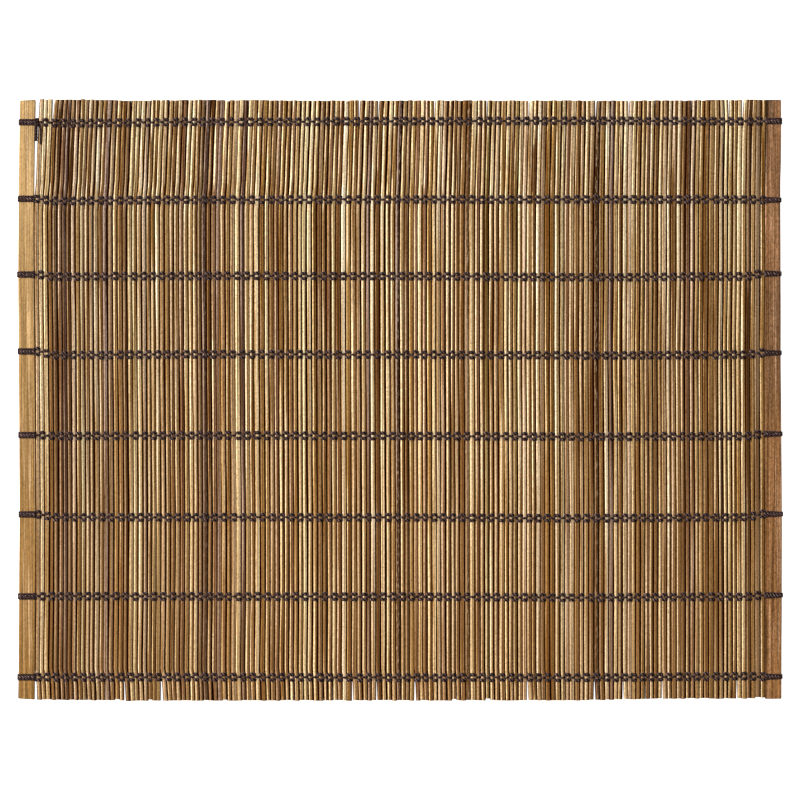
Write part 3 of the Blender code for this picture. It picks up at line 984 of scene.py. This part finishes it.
twine = dict(
    sides=8,
    ringGap=0.5,
    twistPitch=3.6,
    lobeDepth=0.08,
    halfSize=(0.60, 1.04, 0.58),  # mm, across the gap, along the stick, up
    stand=0.50,  # mm from a stick's face to the strand's middle
    spread=1.60,  # mm between strands over the sticks
    pull=0.85,  # how much of the spread is left between sticks
    crossing=0.6,  # how high the strands cross between two sticks, as a share of half a stick
    # where a strand bends down beside a stick: shares of its half width and half thickness,
    # and mm above that
    corner=dict(out=0.88, up=0.66, above=0.28),
    # how thick a strand is, by place, and how much of that the middle one has
    fats=dict(between=1.3, beside=1.12, over=1.06, middle=0.66),
    jitter=0.14,
    seed=5,
    # mm from the outer strands to the middle one on a slat, at its inner and its outer edge
    slatSpread=dict(left=1.25, right=1.18),
    leftWrapEnd=1.15,
    slatStand=0.46,  # mm from the slat's face to the strand's middle
    middleRaise=0.12,
    # the way round a slat: from which edge, mm towards the mat's middle, level, mm above it
    slatRoute=(
        ("inner", 0.15, "middle", 0.0),
        ("inner", -0.35, "under", 0.1),
        ("centre", 0.0, "under", 0.0),
        ("outer", 0.35, "under", 0.03),
        ("outer", -0.26, "middle", 0.0),
        ("outer", 0.35, "over", -0.03),
        ("centre", 0.0, "over", 0.0),
        ("inner", -0.6, "over", 0.0),
    ),
    slatFat=0.76,
    # how much of the pale wear and painted highlight shows, between the slats and, strand by strand, on
    # them
    fieldLight=0.55,
    slatLight={-1: 0.25, 0: 1.0, 1: 0.25},
)


def slatRun(part, row, strand, side):
    line = lineY(row, lineStations[side + "Slat"] * mm)
    near = line + strand * part["slatSpread"][side] * mm
    far = line + strand * (part["leftWrapEnd"] if side == "left" else row["wrapEnd"]) * mm
    inner, outer = edgeX(side + "In", line), edgeX(side + "Out", line)
    centre = ((inner + outer) / 2, (near + far) / 2)
    places = dict(inner=(inner, near), centre=centre, outer=(outer, far))
    raised = part["middleRaise"] if strand == 0 else 0.0
    levels = dict(
        over=stickTop + (part["slatStand"] + raised) * mm,
        middle=stickMiddle,
        under=stickBottom - part["stand"] * mm,
    )
    inwards = mm if side == "left" else -mm
    run = []
    for edge, shift, level, above in part["slatRoute"]:
        x, y = places[edge]
        run.append((x + inwards * shift, y, levels[level] + above * mm))
    return run


def strandLine(part, row, index, strand, sticks, chance):
    points = slatRun(part, row, strand, "left")
    ends = len(points)
    drop = strand * part["spread"] * mm
    lastRight = edgeX("leftIn", lineY(row, -matWidth / 2))
    crossing = stickMiddle + part["crossing"] * stickHalfThick
    slim = part["fats"]["middle"] if strand == 0 else 1.0
    perStick = [part["fats"][place] * slim for place in ("between", "beside", "over", "beside")]
    fat = [part["slatFat"]] * ends
    bend = part["corner"]
    for number, stick in enumerate(sticks):
        line = lineY(row, fieldX(stick["middle"], 0)) + part["jitter"] * mm * chance.uniform(-1, 1)
        y, pulled = line + drop, line + drop * part["pull"]
        side = 1 if (number + index + (strand != 0)) % 2 == 0 else -1
        x, half = stickX(stick, y), widthAt(reeds, stick, y) / 2
        middle, thick = stickMiddle + stick["lift"], stickHalfThick * stick["thin"]
        corner = middle + side * (thick * bend["up"] + bend["above"] * mm)
        points.append(((lastRight + x - half) / 2, pulled, crossing))
        points.append((x - half * bend["out"], (y + pulled) / 2, corner))
        points.append((x, y, middle + side * (thick + part["stand"] * mm)))
        points.append((x + half * bend["out"], (y + pulled) / 2, corner))
        fat += perStick
        lastRight = x + half
    right = slatRun(part, row, strand, "right")
    points.append(((lastRight + right[0][0]) / 2, right[0][1], crossing))
    points += right[::-1]
    fat += [part["fats"]["between"]] + [part["slatFat"]] * ends
    slatLight = [part["slatLight"][strand]] * ends
    light = slatLight + [part["fieldLight"]] * (len(points) - 2 * ends) + slatLight
    return points, fat, light


def makeRow(part, index, sticks, tree, finish):
    chance = random.Random(part["seed"] + index)
    lines, floats = [], dict(fat=[], light=[])
    for strand in (-1, 0, 1):
        line, fat, light = strandLine(part, twineLines[index], index, strand, sticks, chance)
        lines.append(line)
        floats["fat"] += fat
        floats["light"] += light
    data = guideLines(f"rowLines{index + 1}", lines, floats)
    return runTree(f"wovenRow_{index + 1}", data, tree, strandValues(part, finish))


def strandValues(part, finish, size=None):
    return {
        "Sides": part["sides"],
        "Ring gap": part["ringGap"] * mm,
        "Twist pitch": part["twistPitch"] * mm,
        "Lobe depth": part["lobeDepth"],
        "Half size": [side * mm for side in (size or part["halfSize"])],
        "Finish": finish,
    }


looseEnds = dict(
    knotPlace=(11.6, -0.2),  # mm from the left side, mm along the stick from the row's line
    knotReach=0.5,
    knotWidth=0.8,  # against its height
    knotRise=(0.9, 0.4),  # mm above the sticks' top, and how far it goes up and down from there
    knotSteps=48,
    knotFat=0.66,
    halfSize=(0.86, 0.86, 0.46),
    # routes of the two free ends, in mm: from the left side, from the top edge, above the sticks' top
    routes=(
        dict(
            fat=1.3,
            run=(
                (11.4, 13.9, 0.8), (11.2, 15.4, 0.7), (11.1, 18.0, 0.5),
                (11.0, 21.0, 0.4), (10.9, 23.6, 0.45), (10.9, 24.9, 0.5),
            ),
        ),
        dict(
            fat=0.62,
            run=(
                (12.6, 14.6, 0.6), (13.5, 16.8, 0.3), (13.7, 20.0, 0.1),
                (13.65, 23.0, 0.1), (13.6, 26.8, 0.15),
            ),
        ),
    ),
    light=0.05,
)


def makeLooseEnds(part, tree, finish):
    across, along = part["knotPlace"]
    row = twineLines[0]
    x = across * mm - matWidth / 2
    y = matLength / 2 - (row["fromTop"] - row["leftSlat"] - along) * mm
    reach = part["knotReach"] * mm
    rise, swing = part["knotRise"]
    knot = []
    for step in range(part["knotSteps"] + 1):
        turn = 2 * math.pi * step / part["knotSteps"]
        knot.append((
            x + reach * (math.sin(turn) + 2 * math.sin(2 * turn)) * part["knotWidth"],
            y + reach * (math.cos(turn) - 2 * math.cos(2 * turn)),
            stickTop + (rise - swing * math.sin(3 * turn)) * mm,
        ))
    lines, fat = [knot], [part["knotFat"]] * len(knot)
    for route in part["routes"]:
        line = []
        for fromLeft, fromTop, above in route["run"]:
            place = (fromLeft * mm - matWidth / 2, matLength / 2 - fromTop * mm)
            line.append((*place, stickTop + above * mm))
        lines.append(line)
        fat += [route["fat"]] * len(line)
    data = guideLines("looseLines", lines, dict(fat=fat, light=[part["light"]] * len(fat)))
    return runTree("looseEnds", data, tree, strandValues(twine, finish, part["halfSize"]))


# stage

studio = dict(
    cameraPlace=(0.0, 0.0, 3.0),
    shownWidth=470.8,  # mm that the camera takes in at the mat
    floorSize=14.0,  # metres
    floorTone=0.9,
    floorGlow=1.0,
    skyStrength=0.36,
    keyPlace=(-4.0, 1.2, 3.0),
    keySize=2.4,
    keyPower=560.0,
)


def makeStage(part):
    scene = bpy.context.scene
    scene.view_settings.view_transform = "Standard"
    camera = bpy.data.objects.new("camera", bpy.data.cameras.new("camera"))
    camera.location = part["cameraPlace"]
    camera.data.lens = camera.data.sensor_width * camera.location.z / (part["shownWidth"] * mm)
    camera.data.clip_end = 50.0
    scene.collection.objects.link(camera)
    scene.camera = camera
    floorData = bpy.data.meshes.new("floor")
    half = part["floorSize"] / 2
    corners = [(-half, -half, 0), (half, -half, 0), (half, half, 0), (-half, half, 0)]
    floorData.from_pydata(corners, [], [(0, 1, 2, 3)])
    floor = bpy.data.objects.new("floor", floorData)
    scene.collection.objects.link(floor)
    finish, tree = newFinish("paleFloor")
    tone = (part["floorTone"],) * 3 + (1.0,)
    inputs = {"Base Color": tone, "Roughness": 0.9, "Specular IOR Level": 0.0}
    inputs.update({"Emission Color": (1.0, 1.0, 1.0, 1.0), "Emission Strength": part["floorGlow"]})
    shader = put(tree, "ShaderNodeBsdfPrincipled", inputs)
    put(tree, "ShaderNodeOutputMaterial", {"Surface": shader.outputs[0]})
    floorData.materials.append(finish)
    world = bpy.data.worlds.new("softSky")
    world.use_nodes = True
    world.node_tree.nodes["Background"].inputs["Color"].default_value = (1.0, 1.0, 1.0, 1.0)
    world.node_tree.nodes["Background"].inputs["Strength"].default_value = part["skyStrength"]
    scene.world = world
    lamp = bpy.data.lights.new("key", "AREA")
    lamp.energy, lamp.size = part["keyPower"], part["keySize"]
    key = bpy.data.objects.new("key", lamp)
    key.location = part["keyPlace"]
    key.rotation_euler = (-key.location).to_track_quat("-Z", "Y").to_euler()
    scene.collection.objects.link(key)


def main():
    makeStage(studio)
    reedLook = makeReedFinish(reedFinish)
    twineLook = makeTwineFinish(twineFinish)
    sticks = spaceSticks(reeds, characterSticks(reeds, cutSticks(reeds)))
    splitReeds = makeReeds(reeds, sticks, makeStickTree(), reedLook)
    print("sticks made")
    paleLook, brownLook = [makeSlatFinish(name, slatGrain, look) for name, look in slatFinishes.items()]
    leftSlat = makeSlat(slats, "left", paleLook, 1)
    rightSlat = makeSlat(slats, "right", brownLook, 2)
    print("slats made")
    strandTree = makeStrandTree()
    rows = [makeRow(twine, index, sticks, strandTree, twineLook) for index in range(len(twineLines))]
    ends = makeLooseEnds(looseEnds, strandTree, twineLook)
    print("twine made")
    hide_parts("reeds")
    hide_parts("end_slat_left")
    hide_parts("end_slat_right")
    for number, row in enumerate(rows, start=1):
        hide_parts(f"twine_row_{number}")
    for piece in (splitReeds, leftSlat, rightSlat, ends, *rows):
        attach(piece, "root")


main()
